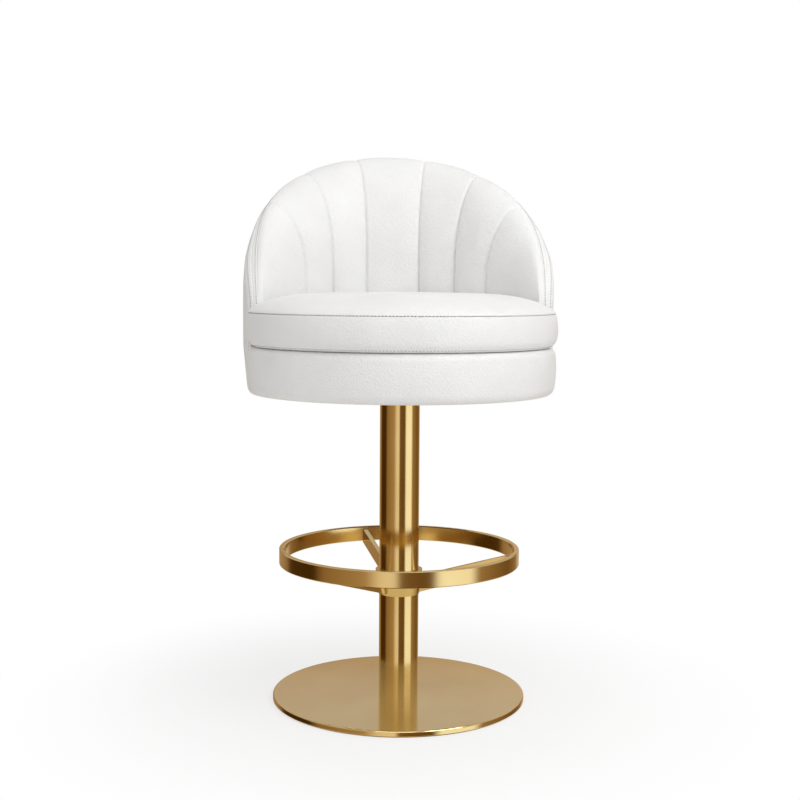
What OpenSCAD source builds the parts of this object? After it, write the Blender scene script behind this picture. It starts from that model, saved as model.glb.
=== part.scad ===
// Swivel bar stool: a tub seat with a channelled back on a brass column, with a fixed ring footrest.
// +Z is up, the front of the seat faces -Y, and the origin is on the floor on the column's axis.

/* [Base] */
// Diameter of the round base plate
base_d = 485; // [400:5:560]
// Thickness of the base plate
base_t = 10; // [8:1:20]
// Radius of the base plate's rounded top edge
base_edge_r = 3; // [1:0.5:5]
// Thickness of the floor pad under the base
pad_t = 2; // [1:0.5:4]
// Diameter of the countersunk screws that hold the column to the base
base_screw_d = 8; // [6:1:10]

/* [Column] */
// Outside diameter of the column tube
column_d = 76; // [64:1:92]
// Wall of the column tube
column_wall = 3; // [2:0.5:5]
// Height of the column's head above the floor
column_top_z = 574; // [480:2:720]

/* [Footrest] */
// Outside diameter of the footrest ring
ring_d = 460; // [380:5:540]
// Height of the ring's flat bar
ring_h = 30; // [20:1:40]
// Thickness of the ring's flat bar
ring_t = 10; // [6:1:14]
// Height of the ring's lower edge above the floor
ring_z = 265; // [220:5:320]
// Wall of the collar that the spokes are welded to
hub_wall = 7; // [6:0.5:12]
// Height of the collar
hub_h = 47; // [46:1:60]
// How far the collar's lower edge is below the ring's lower edge
hub_drop = 60; // [55:1:70]
// Thickness of the spokes' flat bar
spoke_t = 9; // [6:1:12]
// How far a spoke falls on its way from the ring to the collar
spoke_fall = 54; // [45:1:60]
// Angle of the first spoke, counted anticlockwise from +X
spoke_angle = 104; // [90:1:119]

/* [Swivel] */
// Diameter of the spindle
spindle_d = 30; // [20:1:36]
// Wall of the spindle's bushes
bush_wall = 3; // [2:0.5:5]
// Radial running clearance between the spindle and its bushes
spindle_clearance = 0.05; // [0.02:0.01:0.08]
// Length of the bearing housing inside the column
housing_l = 70; // [50:1:110]
// Side of the square seat plate
plate_side = 220; // [170:5:240]
// Thickness of the seat plate
plate_t = 5; // [4:0.5:8]

/* [Seat] */
// Outside diameter of the upholstered seat
seat_d = 586; // [480:2:700]
// Height of the upholstered drum under the cushion
drum_h = 88; // [76:1:120]
// Thickness of the drum's plywood boards
board_t = 15; // [9:1:18]
// Wall of the drum's plywood hoop
hoop_wall = 12; // [8:1:16]
// Dark gap between the drum and the cushion
cushion_gap = 1.5; // [1:0.5:5]
// Height of the cushion's side band
boxing_h = 62; // [40:1:90]
// Rise of the cushion's crown over its upper seam
crown_rise = 38; // [20:1:60]
// Thickness of the plywood board inside the cushion
cushion_board_t = 10; // [6:1:12]

/* [Back] */
// Rise of the back over the cushion's upper seam
back_rise = 315; // [220:5:420]
// Angle from the middle of the back to the front end of each arm
arm_angle = 98; // [86:1:110]
// How fast the rim falls towards the arms: lower is fuller shoulders
rim_power = 0.58; // [0.45:0.01:1.0]
// Thickness of the padding at the middle of the back, inside the shell
back_pad_t = 78; // [50:1:100]
// Thickness of the padding at the arms' front ends, inside the shell
arm_pad_t = 18; // [16:1:40]
// Thickness of the bent plywood shell
shell_t = 8; // [6:1:12]
// Thickness of the padded outer cover
cover_t = 9; // [5:1:14]
// Width of the leather band along the rim
band_w = 9; // [6:1:14]

/* [Hidden] */
$fn = 96;

brass = [0.78, 0.61, 0.32];
steel = [0.62, 0.63, 0.65];
ply = [0.80, 0.66, 0.46];
white_leather = [0.95, 0.95, 0.95];
foam = [0.97, 0.93, 0.72];
black = [0.12, 0.12, 0.12];

eps = 0.5;              // how far a cutter runs past the face that it cuts
soft_gap = 0.6;         // clearance between soft pieces that lie side by side
slip_fit = 0.05;        // radial clearance of fixed pieces that slide together
screw_slack = 0.1;      // radial clearance of a screw in its hole

// Base
base_top_z = pad_t + base_t;
pad_inset = 4;
foot_h = 25;
base_screw_count = 3;
base_screw_pcd = 40;
base_screw_l = base_t + 14;
countersink_ratio = 2;  // head diameter over screw diameter

// Column
column_r = column_d / 2;
column_bore_r = column_r - column_wall;

// Footrest
ring_r = ring_d / 2;
ring_edge = 1.5;
hub_r = column_r + hub_wall;
hub_z = ring_z - hub_drop;
hub_foot_wall = 1.5;    // wall at the lower edge, where the collar's taper ends
hub_taper_h = 30;
spoke_lip = 3;          // the spokes' lower edges meet the collar this far above its lower edge
set_screw_depth = 8;    // from the collar's upper edge down to the set screws
set_screw_d = 6;
set_screw_count = 3;

// Swivel
spindle_r = spindle_d / 2;
bush_bore_r = spindle_r + spindle_clearance;
bush_r = bush_bore_r + bush_wall;
bush_l = 30;
bush_flange_r = bush_r + 7;
bush_flange_t = 3;
head_flange_t = 8;
washer_t = 2;
axial_clearance = 0.1;
washer_z = column_top_z + head_flange_t + bush_flange_t;
collar_z = washer_z + washer_t + axial_clearance;
collar_h = 12;
collar_r = spindle_r + 14;
plate_z = collar_z + collar_h;
plate_corner_r = 12;
housing_z = column_top_z - housing_l;
ring_groove_depth = 1.2;
retaining_t = 2;
retaining_z = housing_z - bush_flange_t - axial_clearance - retaining_t;
retaining_r = spindle_r + 5;
spindle_end_z = retaining_z - 5;
bolt_d = 8;
bolt_head_h = 5.3;
bolt_across_corners = 15;
bolt_inset = 20;
bolt_spread = plate_side / 2 - bolt_inset;
tee_nut_r = 11;
tee_nut_flange_t = 1.5;
tee_nut_barrel_r = bolt_d / 2 + 1;

// Seat: heights from the plate up
seat_r = seat_d / 2;
board_z = plate_z + plate_t;
drum_lip = 11;                                  // how far the covers hang below the base board
drum_z = board_z - drum_lip;
drum_top_z = drum_z + drum_h;
top_board_z = drum_top_z - board_t;
cushion_z = drum_top_z + cushion_gap;
seam_z = cushion_z + boxing_h;
crown_z = seam_z + crown_rise;
frame_r = seat_r - cover_t - shell_t;           // outside of the boards and the hoop
inner_back_r = frame_r - back_pad_t;
inner_arm_r = frame_r - arm_pad_t;
cover_corner_r = 12;
dust_t = 1.5;
boxing_t = 3;
dome_power = 4.5;                               // 2 is a plain dome, and more is flatter in the middle
cushion_screw_d = 5;
cushion_screw_l = board_t + cushion_board_t * 0.6;
cushion_screw_r = 150;
cushion_screw_count = 4;
shell_screw_d = 5;
shell_screw_angles = [-75, -25, 25, 75];
shell_screw_l = shell_t + hoop_wall - 2;
shell_screw_sink = 0.12;                        // heads lie this far under the shell's outside

// Back
seam_angles = [-arm_angle, -63, -38.5, -15.5, 15.5, 38.5, 63, arm_angle];
roll_start = 0.4;       // share of the padding's height where the rolled edge begins
roll_steps = 10;
slice_angle = 4;        // widest slice of a channel
rim_steps = 28;

// ---------- shared shapes ----------

module ring(z, h, outer, inner) {
    translate([0, 0, z]) difference() {
        cylinder(h = h, r = outer);
        translate([0, 0, -eps]) cylinder(h = h + 2 * eps, r = inner);
    }
}

// An arc's points, from one angle to another about a centre
function arc(centre, r, from, to, steps) = [
    for (i = [0 : steps]) let (a = from + (to - from) * i / steps)
        centre + r * [cos(a), sin(a)]
];

// A point on a circle, its angle counted from the middle of the back
function back_point(r, a) = [r * sin(a), r * cos(a)];

function smooth(t) = let (u = min(max(t, 0), 1)) u * u * (3 - 2 * u);

// Height of the rim over a depth y, where the rim is a curve on the seat's outside
function rim_height(y) = let (a = acos(min(max(y / seat_r, -1), 1)))
    seam_z + back_rise * pow(max(cos(a * 90 / arm_angle), 0), rim_power);

function rim_point(a) = let (y = seat_r * cos(a)) [y, a >= arm_angle ? seam_z : rim_height(y)];

// The rim moved inwards by w, square to itself
function rim_inset(a, w) = let (
    d = 0.5,
    b = min(a, arm_angle - d),
    v = rim_point(max(b - d, 0)) - rim_point(max(b - d, 0) + 2 * d),
    n = [v[1], -v[0]] / norm(v)
) rim_point(a) + w * n;

// Inside radius of the padding at an angle from the middle of the back
function inner_r(a) = inner_back_r + (inner_arm_r - inner_back_r)
    * smooth((abs(a) - 55) / (arm_angle - 55));

// Everything under the rim, w inside it, seen from the side and run through the whole width
module under_rim(w) {
    angles = [for (i = [0 : rim_steps]) arm_angle * (1 - pow(1 - i / rim_steps, 1.5))];
    curve = [for (a = angles) w == 0 ? rim_point(a) : rim_inset(a, w)];
    front_y = seat_r * cos(arm_angle) + w;
    kept = [for (p = curve) if (p[0] > front_y && p[1] > seam_z) p];
    past = seat_r + 2 * cover_t;
    profile = concat(
        [[past, drum_z - cover_t], [past, curve[0][1]]],
        kept,
        [[front_y, seam_z], [front_y, drum_z - cover_t]]
    );
    rotate([90, 0, 90])
        linear_extrude(height = 2 * past, center = true) polygon(profile);
}

// A profile in radius and height, swept round the back between the arms' front ends
module back_sweep(half_angle) {
    rotate([0, 0, 90 - half_angle]) rotate_extrude(angle = 2 * half_angle) children();
}

// The drum's padded skin from one radius to another, with its lower edge rounded
module skin_profile(inner, outer, top) {
    r = min(cover_corner_r, outer - inner - 1);
    polygon(concat(
        [[inner, drum_z]],
        arc([outer - r, drum_z + r], r, -90, 0, 8),
        [[outer, top], [inner, top]]
    ));
}

// ---------- stand ----------

module floor_pad() color(black)
    ring(0, pad_t, base_d / 2 - pad_inset, base_screw_pcd / 2 + 20);

module base_plate() color(brass) difference() {
    r = base_d / 2;
    rotate_extrude() polygon(concat(
        [[0, pad_t], [r - 1, pad_t], [r, pad_t + 1]],
        arc([r - base_edge_r, base_top_z - base_edge_r], base_edge_r, 0, 90, 6),
        [[0, base_top_z]]
    ));
    base_screw_places() {
        cylinder(h = base_t + 2 * eps, r = base_screw_d / 2 + screw_slack);
        countersink(base_screw_d / 2 + screw_slack);
    }
}

module base_screw_places() {
    for (i = [0 : base_screw_count - 1])
        rotate([0, 0, 360 * i / base_screw_count])
            translate([base_screw_pcd / 2, 0, pad_t]) children();
}

// The cone of a countersunk head of a screw of radius r, with its flat side down
module countersink(r) cylinder(h = r, r1 = countersink_ratio * r, r2 = r);

module base_screws() color(steel) base_screw_places() {
    cylinder(h = base_screw_l, r = base_screw_d / 2);
    countersink(base_screw_d / 2);
}

module column_foot() color(steel) difference() {
    translate([0, 0, base_top_z]) cylinder(h = foot_h, r = column_bore_r - slip_fit);
    base_screw_places() cylinder(h = base_screw_l + 2, r = base_screw_d / 2 + screw_slack);
}

module column_tube() color(brass)
    ring(base_top_z, column_top_z - base_top_z, column_r, column_bore_r);

module column_head() color(steel) difference() {
    union() {
        translate([0, 0, housing_z]) cylinder(h = housing_l, r = column_bore_r - slip_fit);
        translate([0, 0, column_top_z]) cylinder(h = head_flange_t, r = column_r);
    }
    translate([0, 0, housing_z - eps])
        cylinder(h = housing_l + head_flange_t + 2 * eps, r = bush_r);
}

module upper_bush() color(black) difference() {
    top = column_top_z + head_flange_t;
    union() {
        translate([0, 0, top - bush_l]) cylinder(h = bush_l, r = bush_r);
        translate([0, 0, top]) cylinder(h = bush_flange_t, r = bush_flange_r);
    }
    translate([0, 0, top - bush_l - eps])
        cylinder(h = bush_l + bush_flange_t + 2 * eps, r = bush_bore_r);
}

module lower_bush() color(black) difference() {
    union() {
        translate([0, 0, housing_z]) cylinder(h = bush_l, r = bush_r);
        translate([0, 0, housing_z - bush_flange_t]) cylinder(h = bush_flange_t, r = bush_flange_r);
    }
    translate([0, 0, housing_z - bush_flange_t - eps])
        cylinder(h = bush_l + bush_flange_t + 2 * eps, r = bush_bore_r);
}

module thrust_washer() color(brass) ring(washer_z, washer_t, bush_flange_r, bush_bore_r);

module set_screw_places() {
    for (i = [0 : set_screw_count - 1])
        rotate([0, 0, spoke_angle + 60 + 120 * i])
            translate([column_r + slip_fit, 0, hub_z + hub_h - set_screw_depth])
                rotate([0, 90, 0]) children();
}

// The collar's outside: straight above, and tapered below until it is almost flush with the column
module hub_body() rotate_extrude() polygon([
    [0, hub_z], [column_r + hub_foot_wall, hub_z],
    [hub_r, hub_z + hub_taper_h], [hub_r, hub_z + hub_h], [0, hub_z + hub_h]
]);

module footrest_hub() color(brass) difference() {
    hub_body();
    translate([0, 0, hub_z - eps]) cylinder(h = hub_h + 2 * eps, r = column_r + slip_fit);
    set_screw_places() translate([0, 0, -eps])
        cylinder(h = hub_wall + 2, r = set_screw_d / 2 + screw_slack);
}

module footrest_set_screws() color(steel)
    set_screw_places() cylinder(h = hub_wall - 1, r = set_screw_d / 2);

module footrest_ring() color(brass) {
    inner = ring_r - ring_t;
    top = ring_z + ring_h;
    rotate_extrude() polygon([
        [inner, ring_z + ring_edge], [inner + ring_edge, ring_z],
        [ring_r - ring_edge, ring_z], [ring_r, ring_z + ring_edge],
        [ring_r, top - ring_edge], [ring_r - ring_edge, top],
        [inner + ring_edge, top], [inner, top - ring_edge]
    ]);
}

// A flat bar on edge from the ring down to the collar, cut to the round of each
module footrest_spoke(index) color(brass) {
    inner = ring_r - ring_t;
    high = ring_z + ring_h - ring_edge;
    low = ring_z + ring_edge;
    rotate([0, 0, spoke_angle + 120 * index]) difference() {
        intersection() {
            rotate([90, 0, 0]) linear_extrude(height = spoke_t, center = true) polygon([
                [column_r, hub_z + spoke_lip], [inner + ring_t, low],
                [inner + ring_t, high], [column_r, high - spoke_fall]
            ]);
            ring(hub_z - eps, hub_drop + ring_h + 2 * eps, inner, column_r + slip_fit);
        }
        hub_body();
    }
}

// ---------- swivel ----------

module swivel_spindle() color(steel) difference() {
    union() {
        translate([0, 0, spindle_end_z]) cylinder(h = plate_z - spindle_end_z, r = spindle_r);
        translate([0, 0, collar_z]) cylinder(h = collar_h, r = collar_r);
    }
    ring(retaining_z, retaining_t, spindle_r + eps, spindle_r - ring_groove_depth);
}

module retaining_ring() color(steel)
    ring(retaining_z, retaining_t, retaining_r, spindle_r - ring_groove_depth);

module plate_bolt_places() {
    for (x = [-1, 1], y = [-1, 1])
        translate([x * bolt_spread, y * bolt_spread, 0]) children();
}

module seat_plate() color(steel) difference() {
    flat = plate_side / 2 - plate_corner_r;
    translate([0, 0, plate_z]) union() {
        translate([-flat, -plate_side / 2, 0]) cube([2 * flat, plate_side, plate_t]);
        translate([-plate_side / 2, -flat, 0]) cube([plate_side, 2 * flat, plate_t]);
        for (x = [-flat, flat], y = [-flat, flat])
            translate([x, y, 0]) cylinder(h = plate_t, r = plate_corner_r);
    }
    plate_bolt_places() translate([0, 0, plate_z - eps])
        cylinder(h = plate_t + 2 * eps, r = bolt_d / 2 + screw_slack);
}

module plate_bolts() color(steel) plate_bolt_places() {
    translate([0, 0, plate_z - bolt_head_h])
        cylinder(h = bolt_head_h, d = bolt_across_corners, $fn = 6);
    translate([0, 0, plate_z - eps]) cylinder(h = plate_t + board_t + eps, r = bolt_d / 2);
}

module tee_nuts() color(steel) plate_bolt_places() difference() {
    union() {
        translate([0, 0, board_z + board_t]) cylinder(h = tee_nut_flange_t, r = tee_nut_r);
        translate([0, 0, board_z + board_t / 3])
            cylinder(h = board_t * 2 / 3, r = tee_nut_barrel_r);
    }
    translate([0, 0, board_z])
        cylinder(h = board_t + 2 * tee_nut_flange_t, r = bolt_d / 2 + screw_slack);
}

// ---------- seat drum ----------

module drum_base_board() color(ply) difference() {
    translate([0, 0, board_z]) cylinder(h = board_t, r = frame_r);
    plate_bolt_places() translate([0, 0, board_z - eps])
        cylinder(h = board_t + 2 * eps, r = tee_nut_barrel_r + screw_slack);
}

module drum_hoop() color(ply) difference() {
    ring(board_z + board_t, top_board_z - board_z - board_t, frame_r, frame_r - hoop_wall);
    shell_screw_places() shell_screw_shape(screw_slack);
}

module cushion_screw_places() {
    for (i = [0 : cushion_screw_count - 1])
        rotate([0, 0, 45 + 360 * i / cushion_screw_count])
            translate([cushion_screw_r, 0, top_board_z]) children();
}

module cushion_screw_shape(slack) {
    cylinder(h = cushion_screw_l + slack, r = cushion_screw_d / 2 + slack);
    countersink(cushion_screw_d / 2 + slack);
}

module drum_top_board() color(ply) difference() {
    translate([0, 0, top_board_z]) cylinder(h = board_t, r = frame_r);
    cushion_screw_places() cushion_screw_shape(screw_slack);
}

module dust_cover() color(black)
    ring(board_z - dust_t, dust_t, frame_r - 1, plate_side / sqrt(2) + 3);

module drum_front_cover() color(white_leather) {
    half = 180 - arm_angle - soft_gap * 180 / (PI * seat_r);
    rotate([0, 0, -90 - half]) rotate_extrude(angle = 2 * half)
        skin_profile(frame_r + soft_gap, seat_r, drum_top_z);
}

// ---------- cushion ----------

// The cushion seen from above: round in front, and inside the padding behind the arms
module cushion_plan(inset) {
    side_gap = (soft_gap + inset) * 180 / (PI * seat_r);
    front = 180 - arm_angle - side_gap;
    inner_steps = 48;
    polygon(concat(
        arc([0, 0], seat_r - inset, -90 - front, -90 + front, 40),
        [for (i = [0 : inner_steps]) let (a = (arm_angle + side_gap) * (1 - 2 * i / inner_steps))
            back_point(inner_r(a) - soft_gap - inset, a)]
    ));
}

// The space under a low dome that runs from the upper seam to the crown, flatter in the middle
module crown_dome(drop) {
    dome_steps = 8;
    rotate_extrude() polygon(concat(
        [[0, cushion_z - eps], [seat_r, cushion_z - eps]],
        [for (i = [dome_steps : -1 : 0]) let (t = i / dome_steps)
            [seat_r * t, crown_z - drop - crown_rise * pow(t, dome_power)]]
    ));
}

module cushion_board() color(ply) difference() {
    translate([0, 0, cushion_z])
        linear_extrude(height = cushion_board_t) cushion_plan(boxing_t);
    cushion_screw_places() cushion_screw_shape(screw_slack);
}

module cushion_screws() color(steel) cushion_screw_places() cushion_screw_shape(0);

module cushion_foam() color(foam) {
    from = cushion_z + cushion_board_t;
    intersection() {
        translate([0, 0, from])
            linear_extrude(height = crown_z - from) cushion_plan(boxing_t);
        crown_dome(boxing_t);
    }
}

module cushion_boxing() color(white_leather) difference() {
    translate([0, 0, cushion_z])
        linear_extrude(height = boxing_h - boxing_t) cushion_plan(0);
    translate([0, 0, cushion_z - eps])
        linear_extrude(height = boxing_h + eps) cushion_plan(boxing_t);
}

module cushion_top_cover() color(white_leather) difference() {
    intersection() {
        translate([0, 0, seam_z - boxing_t])
            linear_extrude(height = crown_rise + 2 * boxing_t) cushion_plan(0);
        crown_dome(0);
    }
    crown_dome(boxing_t);
}

// ---------- back ----------

module shell_screw_places() {
    for (a = shell_screw_angles)
        rotate([0, 0, 90 - a]) translate([frame_r + shell_t, 0, (board_z + drum_top_z) / 2])
            rotate([0, -90, 0]) children();
}

module shell_screw_shape(slack) {
    cylinder(h = shell_screw_l + 2 * slack, r = shell_screw_d / 2 + slack);
    countersink(shell_screw_d / 2 + slack);
}

module shell_screws() color(steel) shell_screw_places()
    translate([0, 0, shell_screw_sink]) shell_screw_shape(0);

module back_shell() color(ply) difference() {
    intersection() {
        back_sweep(arm_angle) polygon([
            [frame_r, board_z], [frame_r + shell_t, board_z],
            [frame_r + shell_t, seam_z + back_rise], [frame_r, seam_z + back_rise]
        ]);
        under_rim(band_w);
    }
    shell_screw_places() shell_screw_shape(screw_slack);
}

module outer_back_cover() color(white_leather) intersection() {
    back_sweep(arm_angle)
        skin_profile(frame_r + shell_t, seat_r, seam_z + back_rise);
    under_rim(band_w);
}

// The leather band that closes the edge between the outer cover and the channels
module rim_band() color(white_leather) intersection() {
    back_sweep(arm_angle) skin_profile(frame_r, seat_r, seam_z + back_rise);
    difference() {
        under_rim(0);
        under_rim(band_w);
    }
}

// One channel: slices from seam to seam, each upright inside and rolled over at the rim
module back_channel(index) {
    from = seam_angles[index - 1];
    to = seam_angles[index];
    slices = ceil((to - from) / slice_angle);
    outside = frame_r - 0.02;
    count = roll_steps + 3;
    function slice(a) = let (
        r = inner_r(a),
        top = max(rim_height(outside * cos(a)), seam_z + 1),
        start = seam_z + (top - seam_z) * roll_start
    ) concat(
        [[r, cushion_z]],
        [for (i = [0 : roll_steps]) let (t = 90 * i / roll_steps)
            [r + (outside - r) * (1 - cos(t)), start + (top - start) * sin(t)]],
        [[outside, cushion_z]]
    );
    points = [
        for (s = [0 : slices]) let (a = from + (to - from) * s / slices)
            for (p = slice(a)) [p[0] * sin(a), p[0] * cos(a), p[1]]
    ];
    walls = [
        for (s = [0 : slices - 1], k = [0 : count - 1], half = [0, 1])
            let (n = (k + 1) % count, a = s * count, b = (s + 1) * count)
                half == 0 ? [a + k, a + n, b + n] : [a + k, b + n, b + k]
    ];
    last = slices * count;
    ends = [
        for (k = [0 : count - 3], end = [0, 1])
            end == 0 ? [count - 1, k + 1, k] : [last + count - 1, last + k, last + k + 1]
    ];
    color(white_leather) polyhedron(points = points, faces = concat(walls, ends), convexity = 6);
}

floor_pad();
base_plate();
base_screws();
column_foot();
column_tube();
column_head();
upper_bush();
lower_bush();
thrust_washer();
footrest_hub();
footrest_ring();
footrest_spoke(0);  // footrest_spoke_1
footrest_spoke(1);  // footrest_spoke_2
footrest_spoke(2);  // footrest_spoke_3
footrest_set_screws();
swivel_spindle();
retaining_ring();
seat_plate();
plate_bolts();
tee_nuts();
drum_base_board();
drum_hoop();
drum_top_board();
dust_cover();
drum_front_cover();
cushion_board();
cushion_screws();
cushion_foam();
cushion_boxing();
cushion_top_cover();
back_shell();
shell_screws();
outer_back_cover();
rim_band();
back_channel(1);  // back_channel_1
back_channel(2);  // back_channel_2
back_channel(3);  // back_channel_3
back_channel(4);  // back_channel_4
back_channel(5);  // back_channel_5
back_channel(6);  // back_channel_6
back_channel(7);  // back_channel_7
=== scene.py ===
"""A swivel bar stool: a white leather tub seat with seven sewn channels on a brass-plated column.

The stool is dressed from the floor up, in the order that it is put together. Lengths are in metres,
and an azimuth is counted from the middle of the back, +Y, towards +X.
"""

import math

import bpy
import numpy as np
from mathutils import Euler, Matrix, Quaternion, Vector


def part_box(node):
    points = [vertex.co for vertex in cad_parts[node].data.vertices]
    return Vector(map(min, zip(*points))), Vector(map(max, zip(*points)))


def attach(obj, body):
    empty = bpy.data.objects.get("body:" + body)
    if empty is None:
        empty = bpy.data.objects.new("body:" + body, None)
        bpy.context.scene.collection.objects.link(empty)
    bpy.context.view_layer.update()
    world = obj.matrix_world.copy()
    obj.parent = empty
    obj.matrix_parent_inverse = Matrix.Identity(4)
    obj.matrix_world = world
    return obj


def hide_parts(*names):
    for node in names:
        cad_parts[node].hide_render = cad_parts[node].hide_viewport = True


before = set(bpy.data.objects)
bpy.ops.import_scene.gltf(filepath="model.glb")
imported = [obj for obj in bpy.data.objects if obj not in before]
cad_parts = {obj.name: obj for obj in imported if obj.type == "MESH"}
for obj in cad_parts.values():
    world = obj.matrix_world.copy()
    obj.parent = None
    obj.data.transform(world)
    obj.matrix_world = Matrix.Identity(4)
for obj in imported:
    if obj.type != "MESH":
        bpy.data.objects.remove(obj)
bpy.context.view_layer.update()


# ---------- base plate ----------
# A turned steel plate with a rounded top edge, plated with brass. It is brushed on a lathe, so its fine
# lines run round the column and its sheen fans out from the middle, under a clear lacquer.

def new_material(name, **values):
    """A material whose shader holds these values; Base_Color means the socket Base Color."""
    made = bpy.data.materials.new(name)
    made.use_nodes = True
    shader = made.node_tree.nodes["Principled BSDF"]
    for socket, value in values.items():
        shader.inputs[socket.replace("_", " ")].default_value = value
    return made


def add(made, kind, inputs=None, **settings):
    """A node of a material or the world with these settings, each input either a value or another
    node's output."""
    node = made.node_tree.nodes.new("ShaderNode" + kind)
    for name, value in settings.items():
        setattr(node, name, value)
    for name, value in (inputs or {}).items():
        if isinstance(value, bpy.types.NodeSocket):
            made.node_tree.links.new(value, node.inputs[name])
        else:
            node.inputs[name].default_value = value
    return node


def feed(made, socket, output):
    """Joins an output to one of the shader's own sockets."""
    shader = made.node_tree.nodes["Principled BSDF"]
    made.node_tree.links.new(output, shader.inputs[socket])


def shades(made, factor, dark, light, start=0.3, end=0.7):
    """A colour that goes from dark to light as the factor goes from start to end."""
    ramp = add(made, "ValToRGB", {"Fac": factor})
    first, last = ramp.color_ramp.elements
    first.position, first.color = start, (*dark, 1)
    last.position, last.color = end, (*light, 1)
    return ramp.outputs["Color"]


def spread(made, factor, low, high):
    """A number that goes from low to high as the factor goes from 0.3 to 0.7."""
    inputs = {"Value": factor, "From Min": 0.3, "From Max": 0.7, "To Min": low, "To Max": high}
    return add(made, "MapRange", inputs).outputs["Result"]


def object_point(made, stretch=(1, 1, 1)):
    """The point on the object, stretched along its axes."""
    place = add(made, "TexCoord").outputs["Object"]
    return add(made, "Mapping", {"Vector": place, "Scale": stretch}).outputs["Vector"]


def noise(made, point, scale, detail=3.0):
    return add(made, "TexNoise", {"Vector": point, "Scale": scale, "Detail": detail}).outputs["Fac"]


def bump(made, height, depth, strength=1.0, over=None):
    """A bump of that depth, laid over another one if there is one."""
    inputs = {"Height": height, "Distance": depth, "Strength": strength}
    if over is not None:
        inputs["Normal"] = over
    return add(made, "Bump", inputs).outputs["Normal"]


brass_dark = (0.76, 0.585, 0.26)
brass_light = (0.84, 0.67, 0.335)
lathe_lines = 1400.0    # these three are repeats to the metre
tone_patches = 7.0
handling_marks = 90.0
mark_depth = 0.00004


def lathe_point(made):
    """Radius, height and nothing round the axis, so that a pattern on it runs in circles."""
    place = add(made, "TexCoord").outputs["Object"]
    part = add(made, "SeparateXYZ", {"Vector": place})
    flat = add(made, "CombineXYZ", {"X": part.outputs["X"], "Y": part.outputs["Y"]})
    radius = add(made, "VectorMath", {0: flat.outputs["Vector"]}, operation="LENGTH")
    point = add(made, "CombineXYZ", {"X": radius.outputs["Value"], "Z": part.outputs["Z"]})
    return point.outputs["Vector"]


def brass(name, roughness, brushed, anisotropy):
    """Lacquered brass with lathe lines, patches of slightly deeper colour, and faint handling marks."""
    made = new_material(name, Metallic=1.0, Anisotropic=anisotropy, Coat_Weight=0.12, Coat_Roughness=0.12)
    lines = noise(made, lathe_point(made), lathe_lines, 2.0)
    patches = noise(made, object_point(made), tone_patches)
    marks = noise(made, object_point(made), handling_marks)
    feed(made, "Base Color", shades(made, patches, brass_dark, brass_light))
    feed(made, "Roughness", spread(made, patches, roughness * 0.88, roughness * 1.14))
    first = bump(made, marks, mark_depth, 0.5)
    feed(made, "Normal", bump(made, lines, brushed, 0.8, first))
    if anisotropy:
        tangent = add(made, "Tangent", direction_type="RADIAL", axis="Z").outputs["Tangent"]
        feed(made, "Tangent", tangent)
    return made


def dress(node_names, finish):
    """Gives CAD nodes that stay in view, or inside, this finish."""
    for node_name in node_names:
        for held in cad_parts[node_name].material_slots:
            held.material = finish


dress(["base_plate"], brass("brass_lathe_brushed", 0.09, 0.000008, 0.40))


# ---------- column, ring footrest, collar and spokes ----------
# A drawn steel tube, and a ring of flat bar rolled on edge, carried by three sloping flat spokes that
# are welded to a tapered collar. All are brass plated and lacquered, and the ring is the least polished.

polished_brass = brass("brass_polished", 0.13, 0.000006, 0.0)
satin_brass = brass("brass_satin", 0.16, 0.000010, 0.0)
dress(["column_tube"], polished_brass)
dress(["footrest_ring", "footrest_hub"], satin_brass)
dress([f"footrest_spoke_{number}" for number in (1, 2, 3)], polished_brass)


# ---------- hardware inside ----------
# Zinc plated steel screws, foot, head, spindle and plate; nylon bushes; a bronze washer between the
# plate and the head; a rubber pad glued under the base.

def plain_finish(name, dark, light, scale, depth, low, high, stretch=(1, 1, 1), **values):
    """A finish whose colour, roughness and fine bump follow one noise, stretched along the axes."""
    made = new_material(name, **values)
    pattern = noise(made, object_point(made, stretch), scale, 4.0)
    feed(made, "Base Color", shades(made, pattern, dark, light))
    feed(made, "Roughness", spread(made, pattern, low, high))
    feed(made, "Normal", bump(made, pattern, depth, 0.5))
    return made


zinc_steel = plain_finish("steel_zinc_plated", (0.42, 0.43, 0.44), (0.60, 0.61, 0.62), 120.0,
                          0.00005, 0.28, 0.42, Metallic=1.0)
bronze = plain_finish("bronze_sintered", (0.42, 0.24, 0.11), (0.58, 0.36, 0.18), 900.0,
                      0.00005, 0.34, 0.50, Metallic=1.0)
nylon = plain_finish("nylon_black", (0.018, 0.018, 0.019), (0.035, 0.035, 0.037), 300.0,
                     0.00004, 0.38, 0.52)
rubber = plain_finish("rubber_black", (0.016, 0.016, 0.016), (0.034, 0.033, 0.032), 500.0,
                      0.00010, 0.70, 0.90)
dress(["base_screws", "column_foot", "column_head", "swivel_spindle", "retaining_ring", "seat_plate",
       "plate_bolts", "tee_nuts", "shell_screws", "cushion_screws", "footrest_set_screws"], zinc_steel)
dress(["upper_bush", "lower_bush"], nylon)
dress(["thrust_washer"], bronze)
dress(["floor_pad"], rubber)


# ---------- wooden frame of the seat ----------
# Birch plywood: the drum's boards and bent hoop, and further on the back's bent shell and the cushion's
# board. A black woven dust cover is stapled under the drum.

plywood = plain_finish("plywood_birch", (0.50, 0.34, 0.19), (0.68, 0.52, 0.33), 18.0,
                       0.00012, 0.50, 0.68, stretch=(1, 9, 9))
black_cloth = plain_finish("dust_cloth_black", (0.012, 0.012, 0.013), (0.030, 0.030, 0.032), 1400.0,
                           0.00012, 0.85, 0.97, Sheen_Weight=0.2)
dress(["drum_base_board", "drum_hoop", "drum_top_board"], plywood)
dress(["dust_cover"], black_cloth)


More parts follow.
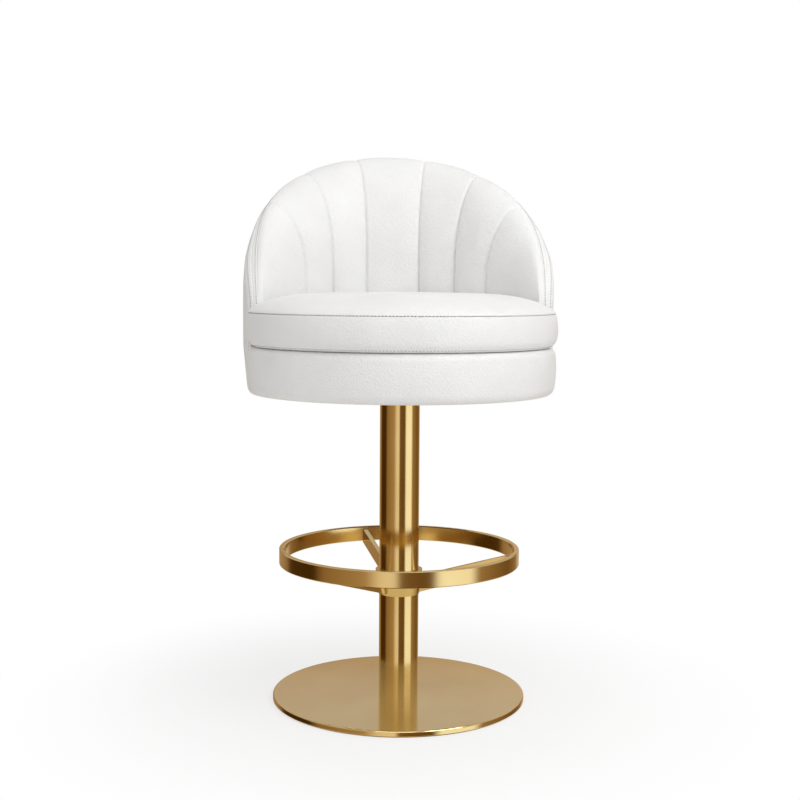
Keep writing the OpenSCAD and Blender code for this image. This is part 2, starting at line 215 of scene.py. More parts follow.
# ---------- drum front cover ----------
# The padded skin of the drum between the arms: white full-grain leather over thin foam, pulled under
# the base board and over the top board, so that both its edges are round.

leather_shade = (0.825, 0.822, 0.815)
leather_light = (0.875, 0.873, 0.868)
pebble_count = 520.0    # these three are repeats to the metre
crease_count = 300.0
drift_count = 9.0
pebble_depth = 0.00070
leather_crease_depth = 0.0016


def pebbled_leather(name):
    """White leather: pebbles two millimetres across, fine creases, and a slow drift of tone."""
    made = new_material(name, Specular_IOR_Level=0.45, Coat_Weight=0.06, Coat_Roughness=0.35)
    point = object_point(made)
    pebbles = add(made, "TexVoronoi", {"Vector": point, "Scale": pebble_count}, feature="SMOOTH_F1")
    creases = noise(made, point, crease_count, 5.0)
    drift = noise(made, point, drift_count)
    feed(made, "Base Color", shades(made, drift, leather_shade, leather_light))
    feed(made, "Roughness", spread(made, creases, 0.40, 0.54))
    first = bump(made, creases, leather_crease_depth, 0.80)
    feed(made, "Normal", bump(made, pebbles.outputs["Distance"], pebble_depth, 0.75, first))
    return made


def smooth(share):
    """An S curve from 0 to 1, level at both ends."""
    share = np.clip(share, 0, 1)
    return share * share * (3 - 2 * share)


def closer_at_ends(count):
    """Shares from 0 to 1 that lie closer together towards both ends, as a cosine does."""
    return (1 - np.cos(np.linspace(0, np.pi, count))) / 2


def polar(azimuth, radius, height):
    """Points at an azimuth from the middle of the back, a radius and a height."""
    place = np.broadcast_arrays(radius * np.sin(azimuth), radius * np.cos(azimuth), height)
    return np.stack(place, -1)


def rolled(distance, height, depth):
    """How far a skin is drawn in near its edge: a quarter of an ellipse, depth at the edge itself."""
    share = np.clip(1 - distance / height, 0, 1)
    return depth * (1 - np.sqrt(1 - share * share))


def seam_dip(distance, depth, width):
    """How far a seam pulls the leather in: a bell curve over the distance from the thread."""
    return depth * np.exp(-(distance / width) ** 2)


def unevenness(azimuth, height, depth):
    """Slow waves of a hand-stretched skin: three sines of unlike lengths over azimuth and height."""
    waves = np.sin(5.3 * azimuth + 21 * height) + np.sin(9.1 * azimuth - 34 * height + 1.7)
    return depth * (waves + np.sin(14.7 * azimuth + 13 * height + 4.1)) / 3


def surface(name, grid, caps):
    """A closed mesh from rows of closed loops. caps is "rungs" where each end is bridged between the two
    halves of its loop, or "poles" where each end closes on its middle. The faces are then turned
    outwards, by the sign of the enclosed volume."""
    rows, columns = grid.shape[:2]
    index = np.arange(rows * columns).reshape(rows, columns)
    around = np.column_stack([index, index[:, 0]])
    first, last = around[0], around[-1]
    quads = np.stack([around[:-1, :-1], around[:-1, 1:], around[1:, 1:], around[1:, :-1]], -1)
    quads, triangles = quads.reshape(-1, 4), np.empty((0, 3), int)
    points = grid.reshape(-1, 3)
    if caps == "rungs":
        half = columns // 2
        front, back = first[:half], first[half:columns][::-1]
        start = np.stack([front[:-1], back[:-1], back[1:], front[1:]], -1)
        front, back = last[:half], last[half:columns][::-1]
        end = np.stack([front[:-1], front[1:], back[1:], back[:-1]], -1)
        quads = np.vstack([quads, start, end])
    else:
        middles = np.stack([grid[0].mean(0), grid[-1].mean(0)])
        low, high = len(points), len(points) + 1
        points = np.vstack([points, middles])
        start = np.stack([first[1:], first[:-1], np.full(columns, low)], -1)
        end = np.stack([last[:-1], last[1:], np.full(columns, high)], -1)
        triangles = np.vstack([start, end])
    corners = np.vstack([quads[:, :3], quads[:, [0, 2, 3]], triangles])
    a, b, c = (points[corners[:, side]] for side in range(3))
    if (a * np.cross(b, c)).sum() < 0:
        quads, triangles = quads[:, ::-1], triangles[:, ::-1]
    mesh = bpy.data.meshes.new(name)
    mesh.from_pydata(points.tolist(), [], quads.tolist() + triangles.tolist())
    mesh.polygons.foreach_set("use_smooth", np.ones(len(mesh.polygons), bool))
    mesh.set_sharp_from_angle(angle=math.radians(60))
    made = bpy.data.objects.new(name, mesh)
    bpy.context.scene.collection.objects.link(made)
    return made


def fit(made, finish, body, node_names=()):
    """Gives a piece its finish and its body, and hides the CAD nodes that it stands for."""
    made.data.materials.append(finish)
    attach(made, body)
    if node_names:
        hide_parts(*node_names)


def swept_skin(outside, inside_radius, azimuth, least=0.002):
    """A skin's closed loops: its outside from the bottom up, and its back from the top down, with at
    least that much between them."""
    radius = np.minimum(inside_radius, np.hypot(outside[..., 0], outside[..., 1]) - least)
    back = polar(azimuth, radius, outside[..., 2])
    return np.concatenate([outside, back[:, ::-1]], 1)


white_leather = pebbled_leather("leather_white_pebbled")

arm_end = math.radians(98)
skin_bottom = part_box("drum_front_cover")[0].z
drum_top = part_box("drum_front_cover")[1].z
bottom_roll = 0.016     # height of the rounded lower edge
bottom_tuck = 0.009     # how far that edge draws in
drum_radius = 0.2893
drum_swell = 0.0047
drum_flare = 0.0015     # the top is this much wider than the bottom
drum_top_roll = 0.013   # height and depth of the rounded upper edge
drum_top_tuck = 0.012
drum_end_dip = 0.004    # depth and width of the dip at the arms
board_edge_radius = 0.2772
drum_end_gap = math.radians(0.3)
hem_radius = 0.262      # where the skin ends on top of the board
hem_lift = 0.0004
skin_waves = 0.0004

azimuth = np.linspace(arm_end + drum_end_gap, 2 * math.pi - arm_end - drum_end_gap, 180)[:, None]
share = closer_at_ends(44)[None, :]
height = skin_bottom + (drum_top - skin_bottom) * share
end_distance = np.minimum(azimuth - azimuth[0], azimuth[-1] - azimuth) * drum_radius
radius = (drum_radius + drum_swell * np.sin(np.pi * share) ** 0.7 + drum_flare * share
          - rolled(height - skin_bottom, bottom_roll, bottom_tuck)
          - rolled(drum_top - height, drum_top_roll, drum_top_tuck)
          - seam_dip(end_distance, drum_end_dip, drum_end_dip)
          + unevenness(azimuth, height, skin_waves))
turned_in = np.linspace(0, 1, 5)[None, 1:]
over_board = polar(azimuth, radius[:, -1:] + (hem_radius - radius[:, -1:]) * turned_in, drum_top + hem_lift)
drum_skin = swept_skin(polar(azimuth, radius, height), board_edge_radius, azimuth)
rows = share.size
drum_cover = surface("drum_cover_leather",
                     np.concatenate([drum_skin[:, :rows], over_board, drum_skin[:, rows:]], 1), "poles")
fit(drum_cover, white_leather, "seat", ["drum_front_cover"])


# ---------- outer cover of the back ----------
# One smooth panel of leather over thin foam on the outside of the bent shell, from under the drum up to
# the rim band, where it is sewn. It leans in towards the top and towards the arms' front ends.

crown_rise = 0.038
crown_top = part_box("cushion_top_cover")[1].z
seam_height = crown_top - crown_rise             # the cushion's upper seam, and the arms' lowest point
rim_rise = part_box("rim_band")[1].z - seam_height
crest_drop = 0.0022                              # the rim's seams lie this far under its fullest swell
band_drop = 0.0035                               # and the band's inner seam this far under them
rim_power = 0.58
rim_crowding = 1.9                               # how close the rim's points lie at the arms
band_width = 0.009
rim_radius = 0.285
shell_outside = 0.2842
cover_foot_radius = 0.289
cover_fill = 0.0095                              # it fills out by this much over the drum
cover_lean = 0.016                               # and leans in by this much above lean_start
cover_taper = 0.012                              # and by this much at the arms' front ends
fill_start = 0.600
fill_height = 0.090
lean_start = 0.785
lean_height = 0.180                              # at the sides
lean_height_behind = 0.350                       # and this much more in the middle of the back
taper_start = 0.630
taper_height = 0.070
taper_span = math.radians(14)
cover_seam_dip = 0.0026
cover_seam_width = 0.003


def crest_height(azimuth):
    """Height of the rim's crest: a cosine that reaches the seam at the arms' ends, to a power under 1,
    which fills out the shoulders."""
    turn = np.clip(azimuth * (math.pi / 2 / arm_end), -math.pi / 2, math.pi / 2)
    return seam_height + (rim_rise - crest_drop) * np.abs(np.cos(turn)) ** rim_power


def cover_radius(azimuth, height):
    """Outside radius of the back: it fills out over the drum, leans in above the cushion, most gently in
    the middle of the back, and tapers towards the arms' front ends, each by an S curve."""
    behind = smooth(np.cos(azimuth))
    lean = cover_lean * (1 + behind) * smooth((height - lean_start)
                                                / (lean_height + lean_height_behind * behind))
    taper = smooth((np.abs(azimuth) - arm_end + taper_span) / taper_span)
    return (cover_foot_radius + cover_fill * smooth((height - fill_start) / fill_height) - lean
            - cover_taper * taper * smooth((height - taper_start) / taper_height))


def rim_line(count):
    """Azimuths along the rim, closer together towards the arms' ends, where it falls steeply."""
    half = arm_end * (1 - (1 - np.linspace(0, 1, count)) ** rim_crowding)
    return np.concatenate([-half[:0:-1], half])


def inset_rim(azimuth, width):
    """The azimuth and height of the band's inner seam moved down and back by a width, square to itself
    on the unrolled cover, and how level the seam is there: 1 where it's level, 0 where it's upright."""
    step = 1e-4
    clipped = np.clip(azimuth, -arm_end + step, arm_end - step)
    slope = (crest_height(clipped + step) - crest_height(clipped - step)) / (2 * step)
    length = np.hypot(rim_radius, slope)
    moved = azimuth + width * slope / (length * rim_radius)
    return moved, crest_height(azimuth) - band_drop - width * rim_radius / length, rim_radius / length


cover_azimuth, cover_top, rim_level = inset_rim(rim_line(140), band_width)
cover_azimuth, cover_top, rim_level = (v[:, None] for v in (cover_azimuth, cover_top, rim_level))
share = closer_at_ends(80)[None, :]
height = skin_bottom + (cover_top - skin_bottom) * share
edge_distance = np.minimum((cover_top - height) * rim_level,
                           (cover_azimuth.max() - np.abs(cover_azimuth)) * rim_radius)
radius = (cover_radius(cover_azimuth, height) - rolled(height - skin_bottom, bottom_roll, bottom_tuck)
          - seam_dip(edge_distance, cover_seam_dip, cover_seam_width)
          + unevenness(cover_azimuth, height, skin_waves))
outer_cover = surface("back_cover_leather",
                      swept_skin(polar(cover_azimuth, radius, height), shell_outside, cover_azimuth),
                      "rungs")
fit(outer_cover, white_leather, "seat", ["outer_back_cover"])

# the bent plywood shell under it, which leans and tapers with the cover
shell_bottom, shell_inset, cover_thickness = 0.003, 0.005, 0.003
shell_outside_radius = shell_outside - 0.0004
shell_back_radius = 0.2761
shell_least = 0.0006
height = (skin_bottom + shell_bottom) + (cover_top - shell_inset - skin_bottom - shell_bottom) * share
under_skin = (cover_radius(cover_azimuth, height) - cover_thickness
              - rolled(height - skin_bottom, bottom_roll, bottom_tuck))
shell = surface("back_shell_plywood", swept_skin(
    polar(cover_azimuth, np.minimum(shell_outside_radius, under_skin), height), shell_back_radius,
    cover_azimuth, shell_least), "rungs")
fit(shell, plywood, "seat", ["back_shell"])


# ---------- seat cushion ----------
# A boxed cushion: foam on a plywood board, in leather with a side band sewn to the top panel and to the
# bottom edge. It fills the tub, and its round front passes between and beyond the arms' ends.

seam_azimuths = np.radians([-98, -63, -38.5, -15.5, 15.5, 38.5, 63, 98])
channel_swell = 0.009
back_radius = 0.198     # inside of the padding in the middle of the back
arm_radius = 0.2645     # and at the arms' front ends
flare_start = math.radians(55)
flare_power = 1.3
fan_out = math.radians(3.0)     # at most this far at the rim
fan_in = math.radians(4.2)      # and this far back at the seams' lower ends
cushion_level = 0.12    # share of the fanning where the cushion meets the channels
least_press = 0.45      # the channels press the cushion in by this share of their swell at the seams
cushion_sink = 0.0012   # the cushion settles this far towards the drum
cushion_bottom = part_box("cushion_boxing")[0].z - cushion_sink
lobe_radius = 0.2926
boxing_swell = 0.0049
lower_roll = 0.016      # height of its rounded lower edge
lower_tuck = 0.0150     # how far that edge draws in
corner_roll = 0.014     # both are larger by this much at the front corners
corner_tuck = 0.010
corner_span = math.radians(6)
dome_radius = 0.2935
dome_flatness = 5       # the powers that make the crown flat in the middle
dome_fullness = 0.8     # and round at its edge
tub_gap = 0.0015        # between the cushion and the channels
upper_dip = 0.0020      # how far the upper seam draws in the side
top_dip = 0.0016        # and the top
upper_width = 0.0015
cushion_waves = 0.0005
press_width = 0.007     # how far from the channels they press the top's edge down
crown_waves = 0.0006
lobe_corner = math.radians(2.6)
lobe_start = math.radians(0.1)  # the front begins this much before the arm's end


def inner_radius(azimuth):
    """Inside radius of the padding along the seams: even round the back, then flaring to the arms' front
    ends as a power of the share of the way there."""
    share = np.clip((np.abs(azimuth) - flare_start) / (arm_end - flare_start), 0, 1)
    return back_radius + (arm_radius - back_radius) * share ** flare_power


def fanned(azimuth, share):
    """Azimuth of a line that starts low in the tub and ends at the rim, where share is 1: the outer
    seams fan out, so they start nearer the back's middle and end nearer the arms."""
    inner_seam = seam_azimuths[4]
    place = np.clip((np.abs(azimuth) - inner_seam) / (arm_end - inner_seam), 0, 1)
    amount = np.sin(np.pi * place)
    shift = fan_out * amount * share - fan_in * amount ** 5 * (1 - share)
    return azimuth + np.sign(azimuth) * shift


def channel_share(azimuth):
    """Where an azimuth lies in its own channel at the cushion, from 0 at one seam to 1 at the next."""
    seams = fanned(seam_azimuths, cushion_level)
    inside = np.clip(azimuth, seams[0], seams[-1])
    index = np.clip(np.searchsorted(seams, inside) - 1, 0, len(seams) - 2)
    return (inside - seams[index]) / (seams[index + 1] - seams[index])


def swell_shape(share):
    """Swell of a stuffed channel across its width: full in the middle and steep at both seams."""
    return 1 - np.abs(2 * share - 1) ** 2.5


def lower_edge(azimuth):
    """Height of the rounded lower edge and how far it draws in, both larger at the two front corners by
    a bell curve."""
    corner = np.exp(-((np.abs(azimuth) - arm_end) / corner_span) ** 2)
    return lower_roll + corner_roll * corner, lower_tuck + corner_tuck * corner


even = np.linspace(-math.pi, math.pi, 260, endpoint=False)
near_arms = arm_end + np.radians(np.linspace(-1.5, 4, 28))
azimuth = np.unique(np.round(np.concatenate([even, near_arms, -near_arms]), 4))[None, :]
lobe = smooth((np.abs(azimuth) - arm_end + lobe_start) / lobe_corner)
fullness = least_press + (1 - least_press) * swell_shape(channel_share(azimuth))
tub_edge = inner_radius(azimuth) - tub_gap - channel_swell * fullness
edge_radius = tub_edge + (lobe_radius - tub_edge) * np.sqrt(lobe)

edge_roll, edge_tuck = lower_edge(azimuth)
share = np.linspace(0.04, 0.98, 6)[:, None]
bottom_radius = (edge_radius - edge_tuck) * share
bottom = polar(azimuth, bottom_radius, cushion_bottom)

share = closer_at_ends(40)[:, None]
height = cushion_bottom + (seam_height - cushion_bottom) * share
side_radius = (edge_radius + boxing_swell * lobe * np.sin(np.pi * share) ** 0.75
               - rolled(height - cushion_bottom, edge_roll, edge_tuck)
               - seam_dip(seam_height - height, upper_dip, upper_width))
side_radius += unevenness(azimuth, height, cushion_waves) * lobe * np.sin(np.pi * share)
side = polar(azimuth, side_radius, height)

share = 1 - 0.97 * np.linspace(0, 1, 48)[1:, None] ** 1.8
top_radius = edge_radius * share
edge_distance = edge_radius - top_radius
dome = crown_rise * np.clip(1 - (top_radius / dome_radius) ** dome_flatness, 0, 1) ** dome_fullness
pressed = 1 - (1 - lobe) * np.exp(-edge_distance / press_width)
waves = np.sin(17 * top_radius * np.sin(azimuth) + 1.1) * np.sin(21 * top_radius * np.cos(azimuth))
height = (seam_height + dome * pressed - seam_dip(edge_distance, top_dip, upper_width)
          + crown_waves * waves)
top = polar(azimuth, top_radius, height)

cushion = surface("seat_cushion_leather", np.concatenate([bottom, side, top]), "poles")
fit(cushion, white_leather, "seat", ["cushion_foam", "cushion_boxing", "cushion_top_cover"])

# the plywood board in it, which keeps inside the rounded lower edge
board_inset, board_lift, board_thickness = 0.003, 0.0015, 0.010
board_radius = (edge_radius - edge_tuck - board_inset) * np.array([[0.5], [1.0], [1.0], [0.5]])
board_height = cushion_bottom + board_lift + board_thickness * np.array([[0], [0], [1], [1]])
board = surface("cushion_board_plywood", polar(azimuth, board_radius, board_height), "poles")
fit(board, plywood, "seat", ["cushion_board"])


# ---------- seven channels of the back ----------
# Each channel is a sleeve of leather stuffed with foam, sewn to its neighbours through to the shell. It
# stands upright inside the tub, then rolls over the rim, where the band closes it.

padding_bottom = 0.690
roll_start = 0.4        # share of the rim's height where a channel begins to lean back
band_seam_radius = 0.2795
crest_step = 0.0085     # from the crest's radius out to the band's
arm_band_step = 0.0095  # the band's inner seam lies this much further in at the arms
arm_step_start = math.radians(45)
arm_step_span = math.radians(45)
rim_swell = 0.0020
crease_depth = 0.0030
crease_width = 0.0022
crease_fade = 0.4       # a crease is this much shallower at the rim
pucker_depth = 0.0004   # small folds that the seams leave in the leather, and how far they reach
pucker_reach = 0.012
pucker_count = 330      # waves of the puckers up a seam, in radians to the metre, and across a channel
pucker_slant = 40
channel_waves = 0.0005
back_drop = 0.009       # the channel's back ends this far under the crest
back_gap = 0.002        # and stays this far inside the band
rim_fall = 0.75         # share of the swell that is gone at the band
shell_inside = 0.2756
lean_share = 0.25       # share of the fanning that is done below the lean


def band_radius(azimuth):
    """Radius of the seam between the channels and the band, drawn in towards the arms by an S curve."""
    return band_seam_radius - arm_band_step * smooth((np.abs(azimuth) - arm_step_start) / arm_step_span)


def channel_grid(azimuth, share, width):
    """One channel's closed loops, one for each azimuth. The front is a line up the inside, a quarter of
    an ellipse that leans back to the crest, and a small quarter ellipse over it to the band, all moved
    along their own normal by the swell, which is full in the middle and dips at the seams. The back is
    a plain upright line against the shell."""
    up = np.linspace(0, 1, 26)[None, :-1]
    turn = np.linspace(0, math.pi / 2, 64)[None, :]
    over = np.linspace(0, math.pi / 2, 14)[None, 1:]
    blank = np.zeros_like(azimuth)
    fan = np.hstack([up * lean_share, lean_share + (1 - lean_share) * np.sin(turn),
                     np.ones_like(over)])
    azimuth = fanned(azimuth, fan)
    low, mid, high = np.split(azimuth, [up.size, up.size + turn.size], 1)

    def lean(place):
        return seam_height + roll_start * (crest_height(place) - seam_height)

    depth, rise = band_radius(mid) - crest_step - inner_radius(mid), crest_height(mid) - lean(mid)
    radius = np.hstack([inner_radius(low), inner_radius(mid) + depth * (1 - np.cos(turn)),
                        band_radius(high) + crest_step * (np.sin(over) - 1)])
    height = np.hstack([padding_bottom + (lean(low) - padding_bottom) * up, lean(mid) + rise * np.sin(turn),
                        crest_height(high) - band_drop * (1 - np.cos(over))])
    out = np.hstack([blank * up - 1, -rise * np.cos(turn), band_drop * np.sin(over) + blank])
    rise_part = np.hstack([blank * up, depth * np.sin(turn), crest_step * np.cos(over) + blank])
    length = np.hypot(out, rise_part)
    near_rim = np.hstack([blank * up, np.sin(turn) ** 2 + blank, blank * over + 1])
    ending = np.hstack([blank * up, blank * turn, rim_fall * np.sin(over) + blank])
    fullness = (channel_swell - (channel_swell - rim_swell) * near_rim) * (1 - ending)
    seam_distance = np.minimum(share, 1 - share) * width * inner_radius(azimuth)
    pucker = pucker_depth * (1 - near_rim) * np.exp(-seam_distance / pucker_reach)
    pucker = pucker * np.sin(height * pucker_count + pucker_slant * share)
    waves = unevenness(azimuth, height, channel_waves)
    swell = (fullness * swell_shape(share) + pucker + waves * swell_shape(share)
             - seam_dip(seam_distance, crease_depth, crease_width) * (1 - crease_fade * near_rim))
    front = polar(azimuth, radius + swell * out / length, height + swell * rise_part / length)
    crest = crest_height(azimuth)
    reach = (crest - back_drop - padding_bottom) / (crest - padding_bottom)
    back = polar(azimuth, np.minimum(shell_inside, band_radius(azimuth) - back_gap),
                 padding_bottom + (height - padding_bottom) * reach)
    return np.concatenate([front, back[:, ::-1]], 1)


for number, (start, end) in enumerate(zip(seam_azimuths[:-1], seam_azimuths[1:]), 1):
    share = closer_at_ends(64)[:, None]
    grid = channel_grid(start + (end - start) * share, share, end - start)
    channel = surface(f"back_channel_leather_{number}", grid, "rungs")
    fit(channel, white_leather, "seat", [f"back_channel_{number}"])


# ---------- rim band ----------
# A strip of the same leather that closes the edge between the channels and the outer cover. It is sewn
# along both sides, and runs down the front edges of the arms to the bottom of the drum.

band_swell = 0.0016
band_thickness = 0.004
band_inset = 0.0016     # its outer edge lies this far inside the cover's surface
edge_dip, edge_width = 0.0016, 0.0012
middle_dip, middle_width = 0.0012, 0.0009
foot_step = 0.011       # down the arms the inner edge moves out by this much
foot_height = 0.030     # over this height
inner_tuck = 0.6        # share of the cover's rounded lower edge that the inner edge follows
arm_drop = np.linspace(0, 1, 60)[1:]


def band_edges():
    """The band's inner and outer edges from the left arm's foot over the rim to the right arm's foot."""
    azimuth = rim_line(150)
    moved, moved_height, _ = inset_rim(azimuth, band_width)
    inner = polar(azimuth, band_radius(azimuth), crest_height(azimuth) - band_drop)
    outer = polar(moved, cover_radius(moved, moved_height) - band_inset, moved_height)
    height = (seam_height - band_drop) * (1 - arm_drop) + skin_bottom * arm_drop
    tuck = rolled(height - skin_bottom, bottom_roll, bottom_tuck)
    edge = band_radius(arm_end) + foot_step * smooth((seam_height - height) / foot_height)
    side = arm_end - band_width / rim_radius
    right_inner = polar(arm_end, edge - tuck * inner_tuck, height)
    right_outer = polar(side, cover_radius(side, height) - band_inset - tuck, height)
    mirrored = np.array([-1, 1, 1])
    inner = np.vstack([right_inner[::-1] * mirrored, inner, right_inner])
    outer = np.vstack([right_outer[::-1] * mirrored, outer, right_outer])
    return inner, outer


def band_surface(inner, outer, share):
    """Points across the band at shares of its width, swelled along its own normal and dipped at both
    seams, and that normal."""
    across = outer - inner
    along = np.gradient((inner + outer) / 2, axis=0)
    normal = np.cross(along, across)
    normal /= np.linalg.norm(normal, axis=1, keepdims=True)
    forward = np.sign(inner[:, :1]) * np.column_stack([inner[:, 1], -inner[:, 0], inner[:, 0] * 0])
    outward = inner * [1, 1, 0] + 0.6 * forward + [0, 0, 0.1]
    normal *= np.sign((normal * outward).sum(1, keepdims=True))
    width = np.linalg.norm(across, axis=1)[:, None]
    edge_distance = np.minimum(share, 1 - share)[None, :] * width
    middle_distance = np.abs(share - 0.5)[None, :] * width
    swell = (band_swell * swell_shape(share)[None, :] - seam_dip(edge_distance, edge_dip, edge_width)
             - seam_dip(middle_distance, middle_dip, middle_width))
    points = inner[:, None] + across[:, None] * share[None, :, None] + normal[:, None] * swell[..., None]
    return points, normal[:, None]


band_inner, band_outer = band_edges()
front, band_normal = band_surface(band_inner, band_outer, np.linspace(0, 1, 33))
grid = np.concatenate([front, (front - band_normal * band_thickness)[:, ::-1]], 1)
rim_band = surface("rim_band_leather", grid, "rungs")
fit(rim_band, white_leather, "seat", ["rim_band"])


# ---------- stitching ----------
# Thick bonded white thread, coloured darker grey as painted shade of its holes: one row in the cushion's
# upper seam, one along its lower seam, and one near each edge of the rim band. Each stitch is a short rounded
# bar.

stitch_length = 0.0036
stitch_pitch = 0.0062
thread_radius = 0.00080
upper_sink = 0.0004     # the upper row lies this far inside the seam's radius
lower_stitch = 0.0045   # height of the lower row over the cushion's bottom
lower_stand = 0.0012    # and how far it stands out of the rounded edge
band_stitch_lift = 0.0002
row_margin = math.radians(3)    # the cushion's rows end this far before the arms
# the thread's grey is painted shade: the real thread is white, sunk in shadowed stitch holes
thread = plain_finish("thread_white_painted_shade", (0.34, 0.335, 0.33), (0.44, 0.435, 0.43), 2600.0,
                      0.00008, 0.45, 0.62)


def stitch_row(name, path, normal):
    """Bars laid end to end along a path: six rings of six points each, placed at even distances along
    the path and turned to its tangent and normal."""
    steps = np.linalg.norm(np.diff(path, axis=0), axis=1)
    run = np.concatenate([[0], np.cumsum(steps)])
    places = np.arange(stitch_pitch, run[-1] - stitch_pitch, stitch_pitch)

    def at(distance):
        return np.stack([np.interp(distance, run, path[:, axis]) for axis in range(3)], -1)

    along = at(places + stitch_length / 2) - at(places - stitch_length / 2)
    along /= np.linalg.norm(along, axis=1, keepdims=True)
    up = np.stack([np.interp(places, run, normal[:, axis]) for axis in range(3)], -1)
    up -= along * (up * along).sum(1, keepdims=True)
    up /= np.linalg.norm(up, axis=1, keepdims=True)
    side = np.cross(along, up)
    where = np.array([-0.5, -0.42, -0.22, 0.22, 0.42, 0.5]) * stitch_length
    thick = np.array([0.35, 0.80, 1.0, 1.0, 0.80, 0.35]) * thread_radius
    turn = np.arange(6) * math.pi / 3
    ring = (np.cos(turn)[:, None] * up[:, None, None, :] + np.sin(turn)[:, None] * side[:, None, None, :])
    bars = (at(places)[:, None, None] + along[:, None, None] * where[:, None, None]
            + ring * thick[:, None, None])
    index = np.arange(len(places) * 36).reshape(-1, 6, 6)
    after = np.roll(index, -1, 2)
    sides = np.stack([index[:, :-1], after[:, :-1], after[:, 1:], index[:, 1:]], -1).reshape(-1, 4)
    ends = index[:, 0, ::-1].tolist() + index[:, -1].tolist()
    mesh = bpy.data.meshes.new(name)
    mesh.from_pydata(bars.reshape(-1, 3).tolist(), [], sides.tolist() + ends)
    mesh.polygons.foreach_set("use_smooth", np.ones(len(mesh.polygons), bool))
    made = bpy.data.objects.new(name, mesh)
    bpy.context.scene.collection.objects.link(made)
    fit(made, thread, "seat")


front_azimuth = np.linspace(arm_end + row_margin, 2 * math.pi - arm_end - row_margin, 400)
outward = polar(front_azimuth, 1.0, 0.0)
stitch_row("cushion_upper_stitches", polar(front_azimuth, lobe_radius - upper_sink, seam_height), outward)
front_roll, front_tuck = lower_edge(np.minimum(front_azimuth, 2 * math.pi - front_azimuth))
stitch_row("cushion_lower_stitches",
           polar(front_azimuth, lobe_radius - rolled(lower_stitch, front_roll, front_tuck) + lower_stand,
                 cushion_bottom + lower_stitch), outward)
for name, where in (("band_inner_stitches", 0.17), ("band_outer_stitches", 0.83)):
    path, normal = band_surface(band_inner, band_outer, np.array([where]))
    stitch_row(name, path[:, 0] + normal[:, 0] * band_stitch_lift, normal[:, 0])


# ---------- floor, light and camera ----------
# A pale floor in a studio with a large bright panel to the right of the camera, a narrow warm one to
# its left, dark screens between them, and a soft light overhead. Each band is an azimuth to the right
# of -Y in degrees and a level.

metal_bands = [(-180, 0.42), (-140, 0.30), (-130, 0.06), (-92, 0.05), (-80, 0.26), (-36, 0.38),
               (-22, 0.76), (-8, 0.80), (-4, 0.17), (26, 0.13), (34, 1.0), (66, 1.0), (76, 0.30),
               (120, 0.16), (142, 0.26), (152, 0.55), (168, 0.55), (176, 0.42), (180, 0.42)]
metal_strength = 1.15
ceiling_start = 0.268
ceiling_full = 0.302
ceiling_colour = (0.50, 0.458, 0.440, 1)
ground_start = -0.36
ground_full = -0.50
ground_colour = (0.66, 0.56, 0.40, 1)
horizon_level = 0.60
soft_strength = 0.70


def surroundings():
    """Light by direction. Polished metal sees bands round the horizon and a bright ceiling, leather is
    lit by a plain ceiling that dims towards the horizon, and the camera sees white past the floor."""
    world = bpy.data.worlds.new("studio")
    bpy.context.scene.world = world
    world.use_nodes = True
    world.node_tree.nodes.clear()
    place = add(world, "TexCoord").outputs["Generated"]
    part = add(world, "SeparateXYZ", {0: place}).outputs
    ahead = add(world, "Math", {0: part["Y"], 1: -1.0}, operation="MULTIPLY").outputs[0]
    angle = add(world, "Math", {0: part["X"], 1: ahead}, operation="ARCTAN2").outputs[0]
    whole_turn = {"Value": angle, "From Min": -math.pi, "From Max": math.pi}
    share = add(world, "MapRange", whole_turn).outputs["Result"]
    ramp = add(world, "ValToRGB", {"Fac": share})
    stops = ramp.color_ramp.elements
    while len(stops) > 1:
        stops.remove(stops[-1])
    for degrees, level in metal_bands:
        stop = stops[0] if degrees == -180 else stops.new(degrees / 360 + 0.5)
        stop.color = (level, level * (0.38 + 0.62 * level ** 0.8), level * (0.02 + 0.98 * level ** 1.1), 1)
    rising = {"Value": part["Z"], "From Min": ceiling_start, "From Max": ceiling_full}
    above = add(world, "MapRange", rising, interpolation_type="SMOOTHSTEP").outputs["Result"]
    ceiling = add(world, "MixRGB", {"Fac": above, "Color1": ramp.outputs["Color"], "Color2": ceiling_colour})
    falling = {"Value": part["Z"], "From Min": ground_start, "From Max": ground_full}
    below = add(world, "MapRange", falling, interpolation_type="SMOOTHSTEP").outputs["Result"]
    ground = add(world, "MixRGB", {"Fac": below, "Color1": ceiling.outputs["Color"], "Color2": ground_colour})
    metal = add(world, "Background", {"Color": ground.outputs["Color"], "Strength": metal_strength})
    soft = add(world, "MixRGB", {"Fac": above, "Color1": (horizon_level,) * 3 + (1,), "Color2": (1, 1, 1, 1)})
    leather = add(world, "Background", {"Color": soft.outputs["Color"], "Strength": soft_strength})
    white = add(world, "Background", {"Color": (1, 1, 1, 1), "Strength": 1.0})
    ray = add(world, "LightPath").outputs
    lit = add(world, "MixShader", {0: ray["Is Glossy Ray"], 1: leather.outputs[0], 2: metal.outputs[0]})
    shown = add(world, "MixShader", {0: ray["Is Camera Ray"], 1: lit.outputs[0], 2: white.outputs[0]})
    add(world, "OutputWorld", {"Surface": shown.outputs[0]})


def soft_light(name, azimuth, elevation, distance, size, power, target):
    """A square soft light that looks at a target from an azimuth to the right of -Y and an elevation."""
    lamp = bpy.data.lights.new(name, "AREA")
    lamp.shape, lamp.size, lamp.energy = "SQUARE", size, power
    made = bpy.data.objects.new(name, lamp)
    a, e = math.radians(azimuth), math.radians(elevation)
    back = np.array([math.sin(a) * math.cos(e), -math.cos(a) * math.cos(e), math.sin(e)])
    made.location = np.array(target) + distance * back
    made.rotation_euler = Euler((math.pi / 2 - e, 0, a))
    bpy.context.scene.collection.objects.link(made)


fade_start = 0.26
fade_end = 0.80
least_white = 0.62


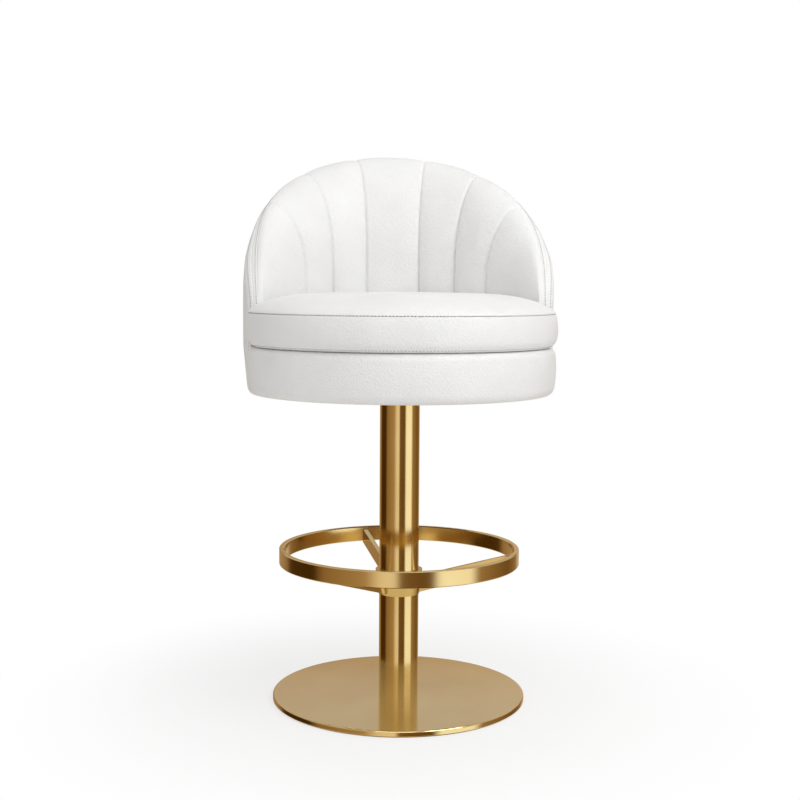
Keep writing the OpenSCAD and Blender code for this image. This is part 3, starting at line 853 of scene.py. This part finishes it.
def floor_finish():
    """A pale floor round the stool that turns plain white further off, where the camera alone sees it."""
    made = plain_finish("floor_pale", (0.88, 0.88, 0.88), (0.91, 0.91, 0.91), 3.0, 0.0001, 0.80, 0.90)
    links, nodes = made.node_tree.links, made.node_tree.nodes
    distance = add(made, "VectorMath", {0: object_point(made)}, operation="LENGTH").outputs["Value"]
    fading = {"Value": distance, "From Min": fade_start, "From Max": fade_end, "To Min": least_white}
    far = add(made, "MapRange", fading, interpolation_type="SMOOTHSTEP").outputs["Result"]
    seen = add(made, "LightPath").outputs["Is Camera Ray"]
    share = add(made, "Math", {0: far, 1: seen}, operation="MULTIPLY").outputs[0]
    white = add(made, "Emission", {"Color": (1, 1, 1, 1), "Strength": 1.0})
    choice = add(made, "MixShader", {0: share, 1: nodes["Principled BSDF"].outputs[0],
                                     2: white.outputs[0]})
    links.new(choice.outputs[0], nodes["Material Output"].inputs["Surface"])
    return made


floor_half = 20.0
floor_corners = [[-floor_half, -floor_half, 0], [floor_half, -floor_half, 0],
                 [floor_half, floor_half, 0], [-floor_half, floor_half, 0]]
floor_mesh = bpy.data.meshes.new("floor")
floor_mesh.from_pydata(floor_corners, [], [[0, 1, 2, 3]])
floor = bpy.data.objects.new("floor", floor_mesh)
bpy.context.scene.collection.objects.link(floor)
floor_mesh.materials.append(floor_finish())
floor.visible_glossy = False

surroundings()
soft_light("key_light", azimuth=46, elevation=42, distance=3.2, size=1.6, power=38, target=(0, 0, 0.7))
soft_light("fill_light", azimuth=-8, elevation=36, distance=4.2, size=2.4, power=24, target=(0, 0, 0.8))
soft_light("overhead_light", azimuth=0, elevation=88, distance=2.6, size=2.2, power=3, target=(0, 0, 0.7))

view_azimuth = math.radians(-5)
view_distance = 2.539
view_height = 0.800
view_pitch = math.radians(5)
view_roll = 0.0062
camera_data = bpy.data.cameras.new("camera")
camera_data.lens = 60.14
camera = bpy.data.objects.new("camera", camera_data)
camera.location = (math.sin(view_azimuth) * view_distance, -math.cos(view_azimuth) * view_distance,
                   view_height)
aim = Euler((math.pi / 2 - view_pitch, 0, view_azimuth)).to_quaternion()
camera.rotation_mode = "QUATERNION"
camera.rotation_quaternion = aim @ Quaternion((0, 0, 1), view_roll)
bpy.context.scene.collection.objects.link(camera)
bpy.context.scene.camera = camera
bpy.context.scene.view_settings.view_transform = "Standard"
